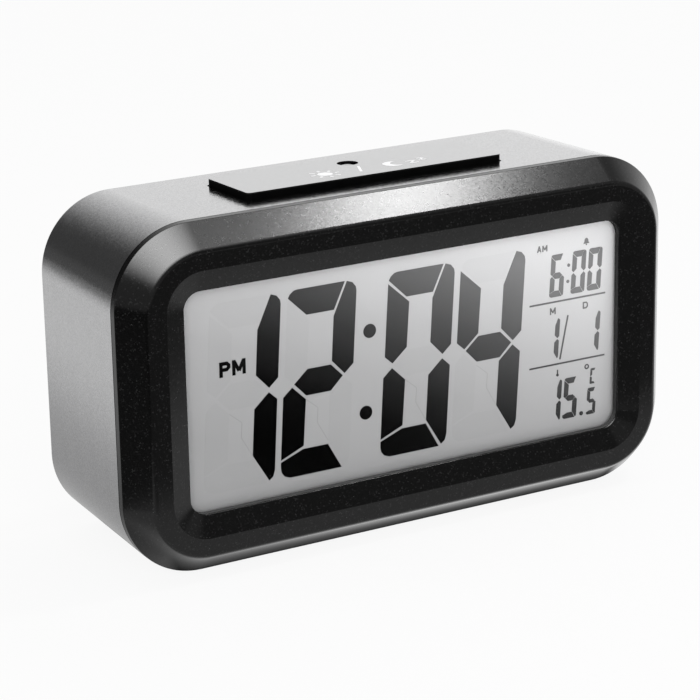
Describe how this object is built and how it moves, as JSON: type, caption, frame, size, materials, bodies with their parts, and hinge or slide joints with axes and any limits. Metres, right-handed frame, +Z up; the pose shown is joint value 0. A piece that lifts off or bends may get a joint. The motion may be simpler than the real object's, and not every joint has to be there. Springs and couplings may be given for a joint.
{
  "type": "digital alarm clock",
  "caption": "Desk clock with a framed display in a drafted sleeve, a press bar with a light sensor on top, rear keys, slide knobs and a tilting battery door.",
  "frame": {"origin": "centre of the bounding box at the table plane under the feet", "axes": "+X right seen from the front, +Y from the display to the back, +Z up"},
  "size_m": [0.135, 0.045, 0.0773],
  "materials": {
    "bezel_black": "gloss with a fine sparkle",
    "case_silver": "satin silver paint",
    "cover_black": "fine texture",
    "key_grey": "smooth",
    "knob_white": "smooth",
    "clear_plastic": "clear",
    "lcd_glass": "reflective cell",
    "ink": "dark segments",
    "white_plastic": "smooth",
    "guide_clear": "clear",
    "zebra": "soft",
    "board_green": "solder mask",
    "black_parts": "moulded",
    "steel": "plated",
    "lens_dark": "gloss",
    "ribbon_grey": "flexible",
    "wire_red": "insulation",
    "cell_wrap": "printed sleeve without print",
    "rubber_black": "soft"
  },
  "bodies": {
    "case": {"front_bezel": "bezel_black", "case_shell": "case_silver", "rear_cover": "cover_black", "display_window": "clear_plastic", "lcd_panel": "lcd_glass", "lcd_segments": "ink", "lcd_holder": "white_plastic", "light_guide": "guide_clear", "reflector_film": "white_plastic", "zebra_strips": "zebra", "backlight_leds": "white_plastic", "main_board": "board_green", "chip_blob": "black_parts", "crystal": "steel", "capacitor": "black_parts", "temp_sensor": "black_parts", "board_screws": "steel", "snooze_springs": "steel", "snooze_board": "board_green", "snooze_switch": "black_parts", "light_sensor": "lens_dark", "snooze_board_screws": "steel", "snooze_ribbon": "ribbon_grey", "button_board": "board_green", "tact_switches": "black_parts", "slide_switches": "steel", "button_board_screws": "steel", "button_ribbon": "ribbon_grey", "buzzer": "black_parts", "wire_leads": "wire_red", "battery_1": "cell_wrap", "battery_2": "cell_wrap", "battery_3": "cell_wrap", "battery_springs": "steel", "battery_contacts": "steel", "case_screws": "steel", "feet": "rubber_black"},
    "snooze": {"snooze_bar": "black_parts", "snooze_plate": "case_silver", "sensor_lens": "lens_dark"},
    "time_key": {"time_button": "key_grey"},
    "alarm_key": {"alarm_button": "key_grey"},
    "up_key": {"up_button": "key_grey"},
    "down_key": {"down_button": "key_grey"},
    "alarm_knob": {"alarm_slider": "knob_white"},
    "sensor_knob": {"sensor_slider": "knob_white"},
    "door": {"battery_door": "cover_black"}
  },
  "joints": [
    {"name": "snooze_press", "type": "slide", "parent": "case", "child": "snooze", "axis": [0, 0, -1], "range_m": [0, 0.001], "stiffness_N_per_m": 1500, "springref_m": -0.001, "deforming": ["snooze_springs"]},
    {"name": "time_press", "type": "slide", "parent": "case", "child": "time_key", "axis": [0, -1, 0], "range_m": [0, 0.0008], "stiffness_N_per_m": 1500, "springref_m": -0.0005},
    {"name": "alarm_press", "type": "slide", "parent": "case", "child": "alarm_key", "axis": [0, -1, 0], "range_m": [0, 0.0008], "stiffness_N_per_m": 1500, "springref_m": -0.0005},
    {"name": "up_press", "type": "slide", "parent": "case", "child": "up_key", "axis": [0, -1, 0], "range_m": [0, 0.0008], "stiffness_N_per_m": 1500, "springref_m": -0.0005},
    {"name": "down_press", "type": "slide", "parent": "case", "child": "down_key", "axis": [0, -1, 0], "range_m": [0, 0.0008], "stiffness_N_per_m": 1500, "springref_m": -0.0005},
    {"name": "alarm_slide", "type": "slide", "parent": "case", "child": "alarm_knob", "axis": [1, 0, 0], "range_m": [0, 0.003]},
    {"name": "sensor_slide", "type": "slide", "parent": "case", "child": "sensor_knob", "axis": [1, 0, 0], "range_m": [0, 0.003]},
    {"name": "door_tilt", "type": "hinge", "parent": "case", "child": "door", "pos_m": [0, 0.0212, 0.0122], "axis": [-1, 0, 0], "range_deg": [0, 45]}
  ]
}
